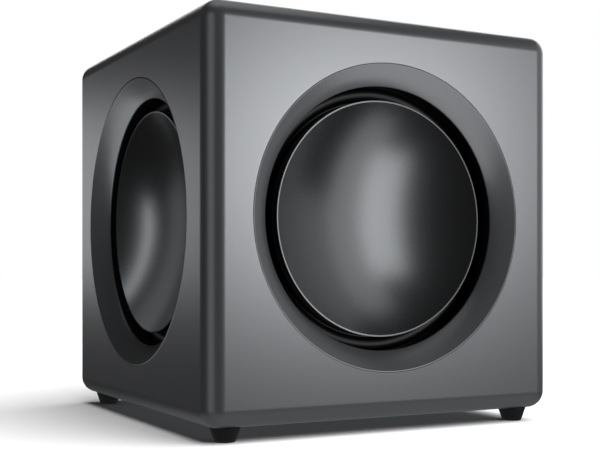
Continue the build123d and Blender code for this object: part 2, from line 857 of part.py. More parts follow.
pot_back = -plate_thickness - pot_depth
shaft_start = pot_back + pot_floor
pots = []
for control, place in (("volume", volume_place), ("crossover", crossover_place)):
    bore = shaft_radius + pot_clearance
    pots.append(rear_turned(place, [
        (0, pot_back),
        (pot_radius, pot_back),
        (pot_radius, -plate_thickness),
        (pot_nose_radius, -plate_thickness),
        (pot_nose_radius, pot_nose_out),
        (bore, pot_nose_out),
        (bore, shaft_start - slider_clearance),
        (0, shaft_start - slider_clearance),
    ]))
    save(rear_turned(place, [
        (0, shaft_start),
        (shaft_radius, shaft_start),
        (shaft_radius, knob_gap + knob_bore_depth),
        (0, knob_gap + knob_bore_depth),
    ]), f"{control}_shaft")
    with BuildPart() as knob:
        with BuildSketch(on_rear(place, knob_gap)):
            Circle(knob_radius)
            with PolarLocations(knob_radius, knob_flutes):
                Circle(flute_radius, mode=Mode.SUBTRACT)
        extrude(amount=knob_height)
        chamfer(knob.faces().sort_by(Axis.Y)[-1].outer_wire().edges(), knob_cap_chamfer)
        with BuildSketch(on_rear(place, knob_gap)):
            Circle(shaft_radius + glue_gap)
        extrude(amount=knob_bore_depth, mode=Mode.SUBTRACT)
        with BuildSketch(on_rear((place[0], place[1] - pointer_offset), knob_gap + knob_height)):
            Rectangle(pointer_width, pointer_length)
        extrude(amount=-pointer_depth, mode=Mode.SUBTRACT)
    save(knob.part, f"{control}_knob")
save(Compound(children=pots), "control_pots")

# ---- Phase and standby slide switches, and the status lamp ---------------------------------------

switches = []
for control, place in (("phase", phase_place), ("standby", standby_place)):
    with BuildPart() as switch:
        add(slab(on_rear(place, -plate_thickness), *slide_body))
        add(slab(on_rear(place, -plate_thickness), *slide_flange))
        add(slab(on_rear(place, -plate_thickness), *slide_cavity), mode=Mode.SUBTRACT)
    switches.append(switch.part)
    rest_place = (place[0] - switch_travel / 2, place[1])
    slider_top = -plate_thickness - slider_clearance
    with BuildPart() as slider:
        add(slab(on_rear(rest_place, slider_top), *slider_base))
        add(slab(on_rear(rest_place, slider_top + slider_nub[2]), *slider_nub))
    save(slider.part, f"{control}_slider")
save(Compound(children=switches), "slide_switches")

save(rear_turned(led_place, [
    (0, -plate_thickness - led_depth),
    (led_radius + led_collar, -plate_thickness - led_depth),
    (led_radius + led_collar, -plate_thickness),
    (led_radius, -plate_thickness),
    (led_radius, 0),
    (led_radius * cos(radians(30)), led_radius * sin(radians(30))),
    (led_radius * cos(radians(60)), led_radius * sin(radians(60))),
    (0, led_radius),
]), "status_lamp")

# ---- Input sockets -------------------------------------------------------------------------------

jacks = [
    rear_turned(place, [
        (jack_pin_radius, jack_flange + jack_length),
        (jack_radius, jack_flange + jack_length),
        (jack_radius, jack_flange),
        (jack_flange_radius, jack_flange),
        (jack_flange_radius, 0),
        (jack_body_radius, 0),
        (jack_body_radius, -plate_thickness - jack_body_depth),
        (0, -plate_thickness - jack_body_depth),
        (0, jack_flange + jack_length - jack_pin_depth),
        (jack_pin_radius, jack_flange + jack_length - jack_pin_depth),
    ])
    for place in jack_places
]
save(Compound(children=jacks), "input_jacks")

# ---- Mains inlet and power rocker ----------------------------------------------------------------

blade_places = [(0, inlet_blade_offset), (-inlet_blade_pitch, -inlet_blade_offset),
                (inlet_blade_pitch, -inlet_blade_offset)]
mouth_floor = inlet_flange[2] - inlet_mouth[2]
with BuildPart() as mains_inlet:
    add(slab(on_rear(inlet_place, inlet_flange[2]), *inlet_flange, corner=inlet_corner))
    add(slab(on_rear(inlet_place), *inlet_body))
    with BuildSketch(on_rear(inlet_place, inlet_flange[2])) as mouth:
        Rectangle(inlet_mouth[0], inlet_mouth[1])
        chamfer(mouth.vertices().group_by(Axis.Z)[-1], inlet_corner)
    extrude(amount=-inlet_mouth[2], mode=Mode.SUBTRACT)
    with BuildSketch(on_rear(inlet_place, mouth_floor)):
        with Locations(*blade_places):
            Rectangle(inlet_blade[0] + 2 * glue_gap, inlet_blade[1] + 2 * glue_gap)
    extrude(amount=-inlet_body[2], mode=Mode.SUBTRACT)
    for side in (-1, 1):
        with BuildSketch(on_rear((inlet_place[0] + side * inlet_screw_x, inlet_place[1]), inlet_flange[2])):
            Circle(screw_hole)
        extrude(amount=-inlet_flange[2], mode=Mode.SUBTRACT)
save(mains_inlet.part, "mains_inlet")

with BuildPart() as inlet_blades:
    with BuildSketch(on_rear(inlet_place, mouth_floor + inlet_blade[2])):
        with Locations(*blade_places):
            Rectangle(inlet_blade[0], inlet_blade[1])
    extrude(amount=-(inlet_blade[2] + inlet_blade_tail))
save(inlet_blades.part, "inlet_blades")

pivot_out = rocker_frame[2] - rocker_pivot_depth
with BuildPart() as rocker_housing:
    add(slab(on_rear(rocker_place, rocker_frame[2]), *rocker_frame, corner=rocker_frame[2]))
    add(slab(on_rear(rocker_place), *rocker_body))
    add(slab(on_rear(rocker_place, rocker_frame[2]), *rocker_window, rocker_window_depth), mode=Mode.SUBTRACT)
    with BuildSketch(Plane(origin=(rocker_place[0], rear_y + pivot_out, middle_z + rocker_place[1]))):
        Circle(rocker_axle_radius + rocker_axle_clearance)
    extrude(amount=rocker_axle_reach + rocker_axle_clearance, both=True, mode=Mode.SUBTRACT)
save(rocker_housing.part, "rocker_frame")

# The rocker's face is a low ridge: one half lies level with the frame while the pressed half sinks below it.
rocker_reach = rocker_window[0] / 2 - rocker_clearance
rocker_plane = Plane(origin=(rocker_place[0], rear_y + pivot_out, middle_z + rocker_place[1]))
with BuildPart() as power_rocker:
    with BuildSketch(rocker_plane):
        Circle(rocker_reach)
        for side in (-1, 1):
            with Locations(Location((0, rocker_waist), side * rocker_tilt - rocker_tilt)):
                Rectangle(4 * rocker_reach, 4 * rocker_reach, align=(Align.CENTER, Align.MIN),
                          mode=Mode.SUBTRACT)
    extrude(amount=rocker_window[1] / 2 - rocker_clearance, both=True)
    with BuildSketch(rocker_plane):
        Circle(rocker_axle_radius)
    extrude(amount=rocker_axle_reach, both=True)
save(power_rocker.part, "power_rocker")

# ---- Circuit board, transformer, leads and wadding -----------------------------------------------

board_out = -plate_thickness - board_gap
back_out = board_out - board_thickness
standoff_places = [
    (board_place[0] + sx * (board_width / 2 - standoff_inset),
     board_place[1] + sz * (board_height / 2 - standoff_inset))
    for sx in (-1, 1)
    for sz in (-1, 1)
]


def on_board(place):
    """The plane of the board's bare side, at a place from the board's middle."""
    return on_rear((board_place[0] + place[0], board_place[1] + place[1]), back_out)


with BuildPart() as circuit_board:
    add(slab(on_rear(board_place, board_out), board_width, board_height, board_thickness))
    for place in standoff_places:
        with BuildSketch(on_rear(place, board_out)):
            Circle(board_screw_radius + glue_gap)
        extrude(amount=-board_thickness, mode=Mode.SUBTRACT)
save(circuit_board.part, "circuit_board")

board_standoffs = [
    rear_turned(place, [
        (0, -plate_thickness),
        (standoff_radius, -plate_thickness),
        (standoff_radius, board_out),
        (board_screw_radius, board_out),
        (board_screw_radius, back_out - board_thickness),
        (0, back_out - board_thickness),
    ])
    for place in standoff_places
]
save(Compound(children=board_standoffs), "board_standoffs")

first_capacitor = -(capacitor_count - 1) / 2 * capacitor_pitch
with BuildPart() as board_parts:
    for i in range(capacitor_count):
        with BuildSketch(on_board((first_capacitor + i * capacitor_pitch, capacitor_z))):
            Circle(capacitor_radius)
        extrude(amount=-capacitor_height)
    with BuildSketch(on_board(choke_place)):
        Circle(choke_radius)
    extrude(amount=-choke_height)
    add(slab(on_board(relay_place), *relay_size))
save(board_parts.part, "board_parts")

transformer_end = -plate_thickness - transformer_height
with BuildPart() as transformer:
    add(rear_turned(transformer_place, [
        (transformer_hole, -plate_thickness),
        (transformer_radius, -plate_thickness),
        (transformer_radius, transformer_end),
        (transformer_hole, transformer_end),
    ]))
    fillet(transformer.edges().filter_by(GeomType.CIRCLE), transformer_round)
save(transformer.part, "transformer")

washer_end = transformer_end - transformer_washer
nut_end = washer_end - transformer_nut
transformer_fixing = [
    bolt(on_rear(transformer_place), transformer_nut_radius, transformer_nut,
         transformer_bolt_radius, -nut_end),
    rear_turned(transformer_place, [
        (transformer_bolt_radius + panel_hole_clearance, transformer_end),
        (transformer_washer_radius, transformer_end),
        (transformer_washer_radius, washer_end),
        (transformer_bolt_radius + panel_hole_clearance, washer_end),
    ]),
    rear_turned(transformer_place, [
        (transformer_bolt_radius + glue_gap, washer_end),
        (transformer_nut_radius, washer_end),
        (transformer_nut_radius, nut_end),
        (transformer_bolt_radius + glue_gap, nut_end),
    ]),
]
save(Compound(children=transformer_fixing), "transformer_fixing")


def lead(points, bend):
    """A round insulated wire along straight runs joined by arcs."""
    with BuildPart() as piece:
        with BuildLine() as route:
            FilletPolyline(*points, radius=bend)
        with BuildSketch(Plane(origin=points[0], z_dir=Vector(*points[1]) - Vector(*points[0]))):
            Circle(wire_radius)
        sweep(path=route.wires()[0])
    return piece.part


blade_end_y = front_y + woofer_ledge_depth + chassis_skin + terminal_size[2] + terminal_blade[2]
board_back_y = rear_y + back_out
leads = []
for side in (-1, 1):
    x = side * terminal_pitch / 2
    z = middle_z + terminal_z
    leads.append(lead([
        (x, blade_end_y, z),
        (x, blade_end_y + speaker_lead_run, z),
        (x + side * speaker_lead_spread, blade_end_y + speaker_lead_middle, z - speaker_lead_sag),
        (x + side * speaker_lead_spread / 2, board_back_y - speaker_lead_middle, z + speaker_lead_rise),
        (x, board_back_y - speaker_lead_run, z),
        (x, board_back_y, z),
    ], lead_bend))
tail_y = rear_y + mouth_floor - inlet_blade_tail
rocker_back_y = rear_y - rocker_body[2]
for side in (-1, 1):
    x = inlet_place[0] + side * inlet_blade_pitch
    z = middle_z + inlet_place[1] - inlet_blade_offset
    end_x = rocker_place[0] - side * rocker_tag
    end_z = middle_z + rocker_place[1]
    drop = mains_lead_reach - side * mains_lead_step
    leads.append(lead([
        (x, tail_y, z),
        (x, tail_y - drop, z),
        (end_x, tail_y - drop, end_z),
        (end_x, rocker_back_y, end_z),
    ], lead_bend))
save(Compound(children=leads), "internal_leads")

with BuildPart() as wadding:
    for z, height in ((z_high_in, -wadding_thickness), (z_low_in, wadding_thickness)):
        with BuildSketch(Plane.XY.offset(z)):
            Rectangle(*wadding_size)
        extrude(amount=height)
save(wadding.part, "wadding")
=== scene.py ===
"""A compact cube subwoofer in satin grey lacquer: a bass unit in front, a passive radiator each side."""

import json
import math

import bpy
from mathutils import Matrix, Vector

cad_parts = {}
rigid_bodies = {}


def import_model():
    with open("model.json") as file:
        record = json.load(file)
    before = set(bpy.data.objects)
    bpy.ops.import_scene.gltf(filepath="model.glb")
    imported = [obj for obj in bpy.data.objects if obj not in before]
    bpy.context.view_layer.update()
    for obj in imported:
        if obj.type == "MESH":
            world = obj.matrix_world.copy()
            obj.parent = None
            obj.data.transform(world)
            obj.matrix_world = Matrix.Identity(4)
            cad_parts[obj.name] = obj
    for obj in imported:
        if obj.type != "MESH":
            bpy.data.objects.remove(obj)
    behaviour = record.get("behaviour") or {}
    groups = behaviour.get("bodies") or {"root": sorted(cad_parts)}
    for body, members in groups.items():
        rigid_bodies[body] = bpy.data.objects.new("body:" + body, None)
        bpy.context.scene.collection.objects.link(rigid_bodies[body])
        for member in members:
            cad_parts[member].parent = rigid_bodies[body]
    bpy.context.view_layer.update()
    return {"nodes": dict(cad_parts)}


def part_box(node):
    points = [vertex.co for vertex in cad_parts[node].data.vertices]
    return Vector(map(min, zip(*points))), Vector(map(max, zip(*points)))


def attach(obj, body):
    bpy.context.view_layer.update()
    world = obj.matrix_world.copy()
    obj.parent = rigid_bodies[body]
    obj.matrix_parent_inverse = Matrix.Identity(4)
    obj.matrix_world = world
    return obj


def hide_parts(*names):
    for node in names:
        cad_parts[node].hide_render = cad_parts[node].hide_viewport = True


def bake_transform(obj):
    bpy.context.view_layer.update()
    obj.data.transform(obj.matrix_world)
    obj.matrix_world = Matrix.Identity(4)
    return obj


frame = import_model()
MM = 0.001

# ---- Camera --------------------------------------------------------------------------------------
# A short tele lens near the floor, level, with a little upward shift so that the uprights stay upright.

cabinet_low, cabinet_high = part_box("bottom_panel")[0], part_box("top_panel")[1]
cabinet_middle = (cabinet_low + cabinet_high) / 2
camera_offset = Vector((-415.2, -793.6, 0)) * MM
camera_height = 110.8 * MM

bpy.ops.object.camera_add(
    location=(cabinet_middle.x + camera_offset.x, cabinet_middle.y + camera_offset.y, camera_height),
    rotation=(math.radians(90), 0, math.radians(-27.71)),
)
camera = bpy.context.object
camera.data.lens = 66.35
camera.data.sensor_width = 36
camera.data.shift_y = 0.082
bpy.context.scene.camera = camera
bpy.context.scene.view_settings.view_transform = "Standard"

# ---- Cabinet -------------------------------------------------------------------------------------
# Six MDF panels, glued into one box, rounded all over and sprayed, so that no joint shows.
# The lacquer is a satin grey with fine aluminium flake, over a filler that leaves a faint orange peel.


def linear(code):
    """An sRGB hex colour as linear RGBA."""
    parts = [int(code[i:i + 2], 16) / 255 for i in (1, 3, 5)]
    return (*[c / 12.92 if c <= 0.04045 else ((c + 0.055) / 1.055) ** 2.4 for c in parts], 1.0)


def add_node(tree, kind, inputs=None, **settings):
    """Adds a node, with its settings, and its inputs as values or as sockets to link from."""
    node = tree.nodes.new(kind)
    for key, value in settings.items():
        setattr(node, key, value)
    for key, value in (inputs or {}).items():
        if isinstance(value, bpy.types.NodeSocket):
            tree.links.new(value, node.inputs[key])
        else:
            node.inputs[key].default_value = value
    return node


def finish(name, code, roughness, metallic, grain, relief, spread=0.12, **shader):
    """A material whose colour, gloss and height vary with a grain of a real size, in millimetres."""
    material = bpy.data.materials.new(name)
    material.use_nodes = True
    tree = material.node_tree
    tree.nodes.clear()
    place = add_node(tree, "ShaderNodeTexCoord")
    noise = add_node(tree, "ShaderNodeTexNoise", {
        "Vector": place.outputs["Object"], "Scale": 1 / (grain * MM), "Detail": 3.0, "Roughness": 0.6})
    base = linear(code)
    tint = add_node(tree, "ShaderNodeMix", {
        "Factor": noise.outputs["Fac"],
        "A": tuple(c * (1 - spread) for c in base[:3]) + (1,),
        "B": tuple(min(1, c * (1 + spread)) for c in base[:3]) + (1,)}, data_type="RGBA")
    gloss = add_node(tree, "ShaderNodeMapRange", {
        "Value": noise.outputs["Fac"], "To Min": roughness * 0.9, "To Max": min(1, roughness * 1.1)})
    bump = add_node(tree, "ShaderNodeBump", {
        "Height": noise.outputs["Fac"], "Strength": 1.0, "Distance": relief * MM})
    principled = add_node(tree, "ShaderNodeBsdfPrincipled", {
        "Base Color": tint.outputs["Result"], "Metallic": metallic, "Roughness": gloss.outputs["Result"],
        "Normal": bump.outputs["Normal"], **shader})
    add_node(tree, "ShaderNodeOutputMaterial", {"Surface": principled.outputs["BSDF"]})
    return material


def paint(piece, material):
    piece.data.materials.clear()
    piece.data.materials.append(material)


def nothing_selected():
    bpy.ops.object.select_all(action="DESELECT")


def apply_all(piece):
    """Applies the object's place and its modifiers, so that its place is in its mesh."""
    nothing_selected()
    piece.select_set(True)
    bpy.context.view_layer.objects.active = piece
    bpy.ops.object.transform_apply(location=True, rotation=True, scale=True)
    for modifier in list(piece.modifiers):
        bpy.ops.object.modifier_apply(modifier=modifier.name)


def block(name, low, high):
    """A box between two corners, to be shaped or to cut with."""
    nothing_selected()
    bpy.ops.mesh.primitive_cube_add(size=1, location=(Vector(low) + Vector(high)) / 2)
    piece = bpy.context.object
    piece.name = name
    piece.scale = Vector(high) - Vector(low)
    apply_all(piece)
    return piece


def cut(piece, cutter):
    """Takes one shape out of another."""
    modifier = piece.modifiers.new("cut", "BOOLEAN")
    modifier.operation = "DIFFERENCE"
    modifier.solver = "EXACT"
    modifier.object = cutter
    apply_all(piece)
    bpy.data.objects.remove(cutter)


units = {
    "woofer": (Vector((0, -1, 0)), (math.radians(90), 0, 0)),
    "left_radiator": (Vector((-1, 0, 0)), (0, math.radians(-90), 0)),
    "right_radiator": (Vector((1, 0, 0)), (0, math.radians(90), 0)),
}


def unit_origin(unit):
    """The middle of a unit's opening, level with the panel's outer face."""
    low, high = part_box(f"{unit}_trim_ring")
    middle = (low + high) / 2
    out = units[unit][0]
    return middle + out * abs((high - low).dot(out)) / 2


def disc(name, unit, radius, start, end, steps=256):
    """A cylinder on a unit's axis, between two depths behind the panel's face."""
    out, turn = units[unit]
    nothing_selected()
    bpy.ops.mesh.primitive_cylinder_add(
        vertices=steps, radius=radius, depth=end - start,
        location=unit_origin(unit) - out * (start + end) / 2, rotation=turn)
    piece = bpy.context.object
    piece.name = name
    apply_all(piece)
    return piece


edge_radius = 13 * MM
rebate_radius = 107.65 * MM
rebate_depth = 18 * MM
hole_radius = 98.5 * MM
hole_depth = 32 * MM
window_half_width, window_half_height = 75 * MM, 100 * MM
over = 2 * MM

cabinet = block("cabinet", cabinet_low, cabinet_high)
rounding = cabinet.modifiers.new("rounding", "BEVEL")
rounding.width = edge_radius
rounding.segments = 12
rounding.limit_method = "NONE"
apply_all(cabinet)
inside_low = Vector((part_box("left_panel")[1].x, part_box("front_baffle")[1].y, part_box("bottom_panel")[1].z))
inside_high = Vector((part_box("right_panel")[0].x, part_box("rear_panel")[0].y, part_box("top_panel")[0].z))
cut(cabinet, block("room", inside_low, inside_high))
for unit in units:
    cut(cabinet, disc("rebate", unit, rebate_radius, -over, rebate_depth))
    cut(cabinet, disc("hole", unit, hole_radius, -over, hole_depth))
plate_low, plate_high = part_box("amplifier_plate")
plate_gap = Vector((0.4, 0, 0.4)) * MM
plate_corner = 8.4 * MM
gasket_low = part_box("plate_gasket")[0]


def round_corners(piece, radius):
    """Rounds the four edges of a box that run from front to back."""
    bpy.ops.object.mode_set(mode="EDIT")
    bpy.ops.mesh.select_mode(type="EDGE")
    bpy.ops.mesh.select_all(action="DESELECT")
    bpy.ops.object.mode_set(mode="OBJECT")
    for edge in piece.data.edges:
        start, end = [piece.data.vertices[i].co for i in edge.vertices]
        edge.select = abs((end - start).normalized().y) > 0.99
    bpy.ops.object.mode_set(mode="EDIT")
    bpy.ops.mesh.bevel(offset=radius, segments=10)
    bpy.ops.object.mode_set(mode="OBJECT")
    return piece


cut(cabinet, round_corners(
    block("plate_rebate", (plate_low.x - plate_gap.x, gasket_low.y, plate_low.z - plate_gap.z),
          (plate_high.x + plate_gap.x, plate_high.y + over, plate_high.z + plate_gap.z)), plate_corner))
cut(cabinet, round_corners(
    block("plate_window", (-window_half_width, inside_high.y - over, cabinet_middle.z - window_half_height),
          (window_half_width, gasket_low.y + over, cabinet_middle.z + window_half_height)), plate_corner))
nothing_selected()
cabinet.select_set(True)
bpy.context.view_layer.objects.active = cabinet
bpy.ops.object.shade_smooth_by_angle(angle=math.radians(30))
weights = cabinet.modifiers.new("even", "WEIGHTED_NORMAL")
weights.keep_sharp = True
weights.weight = 100
apply_all(cabinet)
lacquer = finish("grey_lacquer", "#8B8D90", 0.34, 0.6, grain=0.7, relief=0.004, spread=0.06)
paint(cabinet, lacquer)
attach(cabinet, "root")
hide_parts("top_panel", "bottom_panel", "front_baffle", "left_panel", "right_panel", "rear_panel")

# ---- Trim rings ----------------------------------------------------------------------------------
# A flared ring moulded in ABS and sprayed with the cabinet's lacquer, which hides the unit's screws.
# A narrow polished lip at its outer edge catches the light.


def lathe(name, unit, outline, steps=256):
    """Turns an outline of (radius, depth) in millimetres about a unit's axis; radius 0 closes the end."""
    out, turn = units[unit]
    nothing_selected()
    first_radius, first_depth = outline[0]
    bpy.ops.mesh.primitive_circle_add(vertices=steps, radius=first_radius * MM,
                                      location=(0, 0, -first_depth * MM))
    piece = bpy.context.object
    piece.name = name
    bpy.ops.object.transform_apply(location=True)
    bpy.ops.object.mode_set(mode="EDIT")
    bpy.ops.mesh.select_mode(type="EDGE")
    bpy.ops.mesh.select_all(action="SELECT")
    for (radius, depth), (next_radius, next_depth) in zip(outline, outline[1:]):
        bpy.ops.mesh.extrude_edges_move(
            TRANSFORM_OT_translate={"value": (0, 0, (depth - next_depth) * MM)})
        if next_radius:
            size = next_radius / radius
            bpy.ops.transform.resize(value=(size, size, 1), center_override=(0, 0, 0))
        else:
            bpy.ops.mesh.merge(type="CENTER")
    bpy.ops.mesh.select_all(action="SELECT")
    bpy.ops.mesh.remove_doubles(threshold=0.001 * MM)
    bpy.ops.mesh.normals_make_consistent(inside=False)
    bpy.ops.object.mode_set(mode="OBJECT")
    piece.rotation_euler = turn
    piece.location = unit_origin(unit)
    apply_all(piece)
    bpy.ops.object.shade_smooth_by_angle(angle=math.radians(30))
    return piece


def arc(middle, radius, start, end, steps):
    """Points on an arc, as (radius, depth): 0 degrees points away from the axis and 90 out of the panel."""
    angles = [math.radians(start + (end - start) * i / steps) for i in range(steps + 1)]
    return [(middle[0] + radius * math.cos(a), middle[1] - radius * math.sin(a)) for a in angles]


trim_radius, trim_inner, trim_depth = 107.4, 93.1, 11.8
lip = 1.0
lip_round = 0.35
trim_outline = [
    *arc((trim_radius - lip_round, lip_round), lip_round, 0, 90, 4),
    *arc((trim_radius - lip + lip_round, lip_round), lip_round, 90, 150, 4),
    *[(trim_radius - lip - (trim_radius - lip - trim_inner) * t, trim_depth * t)
      for t in (0.06, 0.5, 0.97)],
    *arc((trim_inner + 0.6, trim_depth + 0.6), 0.6, 140, 180, 3),
    (trim_inner, 13.0), (95.0, 13.0), (105.2, 4.1), (105.2, 13.0), (trim_radius, 13.0),
    (trim_radius, lip_round),
]
for unit in units:
    ring = lathe(f"{unit}_trim", unit, trim_outline)
    paint(ring, lacquer)
    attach(ring, "root")
    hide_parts(f"{unit}_trim_ring")

# ---- Dishes --------------------------------------------------------------------------------------
# A spherical hollow pressed in aluminium and anodised dark, with a straight skirt round its edge.
# The fine satin blast leaves broad soft reflections, and the turned rim shows as a thin light line.

rim_radius, rim_depth, dish_depth = 83.6, 14.25, 28.0
bowl_radius = rim_radius - 1.2
bowl_sphere = (bowl_radius**2 + dish_depth**2) / (2 * dish_depth)
bowl_middle = (0, rim_depth + dish_depth - bowl_sphere)
edge_angle = math.degrees(math.asin(bowl_radius / bowl_sphere))
rim_outline = [(82.0, 30.0), (rim_radius, 30.0), *arc((rim_radius - 0.4, rim_depth + 0.4), 0.4, 0, 90, 3)]
bowl_steps = 30
bowl_outline = [
    (bowl_sphere * math.sin(math.radians(edge_angle * (1 - i / bowl_steps))),
     bowl_middle[1] + bowl_sphere * math.cos(math.radians(edge_angle * (1 - i / bowl_steps))))
    for i in range(bowl_steps)
] + [(0, rim_depth + dish_depth)]
back_steps = 10
back_sphere = bowl_sphere + 1.5
back_angle = math.degrees(math.asin(82.0 / back_sphere))
back_outline = [
    (back_sphere * math.sin(math.radians(back_angle * (1 - i / back_steps))),
     bowl_middle[1] + back_sphere * math.cos(math.radians(back_angle * (1 - i / back_steps))))
    for i in range(back_steps)
] + [(0, rim_depth + dish_depth + 1.5)]

dish_metal = finish("dark_anodised_aluminium", "#7C7E80", 0.28, 1.0, grain=0.5, relief=0.002, spread=0.08)
for unit in units:
    dish = lathe(f"{unit}_bowl", unit, rim_outline + bowl_outline)
    back = lathe(f"{unit}_bowl_back", unit, [(82.0, 30.0)] + back_outline)
    nothing_selected()
    back.select_set(True)
    dish.select_set(True)
    bpy.context.view_layer.objects.active = dish
    bpy.ops.object.join()
    bpy.ops.object.mode_set(mode="EDIT")
    bpy.ops.mesh.select_all(action="SELECT")
    bpy.ops.mesh.remove_doubles(threshold=0.001 * MM)
    bpy.ops.mesh.normals_make_consistent(inside=False)
    bpy.ops.object.mode_set(mode="OBJECT")
    paint(dish, dish_metal)
    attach(dish, f"{unit}_mover")
    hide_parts(f"{unit}_dish")

# ---- Surrounds -----------------------------------------------------------------------------------
# One half roll of moulded nitrile rubber, glued to the dish inside and to the chassis outside.
# It is made once in its rest shape, and does not follow the dish as it travels.


def follow(piece, unit, inner, outer):
    """Bakes the piece's place into its mesh; unit, inner and outer are not used."""
    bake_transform(piece)


roll_middle, roll_radius, roll_skin, glue_depth = 89.5, 5.2, 1.2, 30.0
surround_outline = [
    (81.0, glue_depth),
    *arc((roll_middle, glue_depth), roll_radius, 180, 0, 24),
    (96.4, glue_depth), (96.4, glue_depth + roll_skin),
    (roll_middle + roll_radius - roll_skin, glue_depth + roll_skin),
    *arc((roll_middle, glue_depth), roll_radius - roll_skin, 0, 180, 16),
    (roll_middle - roll_radius + roll_skin, glue_depth + roll_skin), (81.0, glue_depth + roll_skin),
    (81.0, glue_depth),
]
nitrile = finish("nitrile_rubber", "#101010", 0.42, 0.0, grain=0.6, relief=0.006, spread=0.2)
for unit in units:
    surround = lathe(f"{unit}_roll", unit, surround_outline)
    paint(surround, nitrile)
    follow(surround, unit, 84.3, 94.7)
    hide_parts(f"{unit}_surround")

# ---- Feet ----------------------------------------------------------------------------------------
# Tapered rubber feet, moulded with a recess for the screw that holds them, with rounded edges.

foot_outline = [
    (2.0, 6.0), (4.2, 6.0), (4.2, 0.5), (4.7, 0.0),
    (6.3, 0.0), (6.95, 0.25), (7.3, 0.9),
    (10.4, 9.6), (10.3, 9.9), (10.0, 10.0), (2.0, 10.0), (2.0, 6.0),
]
foot_rubber = finish("foot_rubber", "#0D0D0D", 0.55, 0.0, grain=0.5, relief=0.02, spread=0.25)
feet_low, feet_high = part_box("rubber_feet")
foot_top_radius = 10.5 * MM
feet = []
for x in (feet_low.x + foot_top_radius, feet_high.x - foot_top_radius):
    for y in (feet_low.y + foot_top_radius, feet_high.y - foot_top_radius):
        nothing_selected()
        first_radius, first_height = foot_outline[0]
        bpy.ops.mesh.primitive_circle_add(
            vertices=64, radius=first_radius * MM, location=(0, 0, first_height * MM))
        foot = bpy.context.object
        bpy.ops.object.transform_apply(location=True)
        bpy.ops.object.mode_set(mode="EDIT")
        bpy.ops.mesh.select_mode(type="EDGE")
        bpy.ops.mesh.select_all(action="SELECT")
        for (radius, height), (next_radius, next_height) in zip(foot_outline, foot_outline[1:]):
            bpy.ops.mesh.extrude_edges_move(
                TRANSFORM_OT_translate={"value": (0, 0, (next_height - height) * MM)})
            size = next_radius / radius
            bpy.ops.transform.resize(value=(size, size, 1), center_override=(0, 0, 0))
        bpy.ops.mesh.select_all(action="SELECT")
        bpy.ops.mesh.remove_doubles(threshold=0.001 * MM)
        bpy.ops.mesh.normals_make_consistent(inside=False)
        bpy.ops.object.mode_set(mode="OBJECT")
        foot.location = (x, y, 0)
        apply_all(foot)
        bpy.ops.object.shade_smooth_by_angle(angle=math.radians(35))
        feet.append(foot)
nothing_selected()
for foot in feet:
    foot.select_set(True)
bpy.context.view_layer.objects.active = feet[0]
bpy.ops.object.join()
feet[0].name = "feet"
paint(feet[0], foot_rubber)
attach(feet[0], "root")
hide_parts("rubber_feet")

# ---- Chassis -------------------------------------------------------------------------------------
# Deep baskets pressed in sheet steel, with windows between their spokes, for all three units.
# A black powder coat gives them a fine, slightly pebbled satin.


def coat_nodes(material, *names):
    """Gives CAD nodes their finish."""
    for name in names:
        paint(frame["nodes"][name], material)


coat_nodes(finish("black_powder_coat", "#161617", 0.50, 0.0, grain=0.8, relief=0.03, spread=0.2),
           *[f"{unit}_basket" for unit in units])

# ---- Gaskets and screws --------------------------------------------------------------------------
# Closed-cell foam rings seal the units and the amplifier plate; the cells show as a fine open grain.
# Pan-head wood screws hold the units and feet, blackened by phosphate, which leaves a dull grey sparkle.

foam = finish("closed_cell_foam", "#1B1B1B", 0.90, 0.0, grain=0.6, relief=0.08, spread=0.35)
black_phosphate = finish("black_phosphated_steel", "#2A2A2B", 0.42, 0.8, grain=0.3, relief=0.01, spread=0.2)
coat_nodes(foam, "unit_gaskets", "plate_gasket")
coat_nodes(black_phosphate, "wood_screws", "plate_screws")

# ---- Spiders -------------------------------------------------------------------------------------
# Corrugated discs of resin-dipped cotton, glued to the chassis outside and to the moving tube inside.
# The weave shows as crossed threads; the cloth keeps its rest shape and does not follow the tube.


def woven(name, code, thread, relief, roughness=0.85, **shader):
    """Crossed threads of a real width, in millimetres."""
    material = finish(name, code, roughness, 0.0, grain=thread * 4, relief=0.01, spread=0.12, **shader)
    tree = material.node_tree
    place = add_node(tree, "ShaderNodeTexCoord").outputs["Object"]
    turned = add_node(tree, "ShaderNodeMapping", {
        "Vector": place, "Rotation": (0.6, 0.5, 0.6)}).outputs["Vector"]
    scale = 2 * math.pi / 20 / (thread * MM)
    warp, weft = [
        add_node(tree, "ShaderNodeTexWave", {"Vector": turned, "Scale": scale, "Distortion": 0.4},
                 wave_type="BANDS", bands_direction=direction).outputs["Fac"]
        for direction in ("X", "Z")]
    threads = add_node(tree, "ShaderNodeMath", {0: warp, 1: weft}, operation="MAXIMUM").outputs["Value"]
    principled = next(n for n in tree.nodes if n.type == "BSDF_PRINCIPLED")
    fine = next(n for n in tree.nodes if n.type == "BUMP")
    cloth = add_node(tree, "ShaderNodeBump", {
        "Height": threads, "Strength": 1.0, "Distance": relief * MM, "Normal": fine.outputs["Normal"]})
    tree.links.new(cloth.outputs["Normal"], principled.inputs["Normal"])
    return material


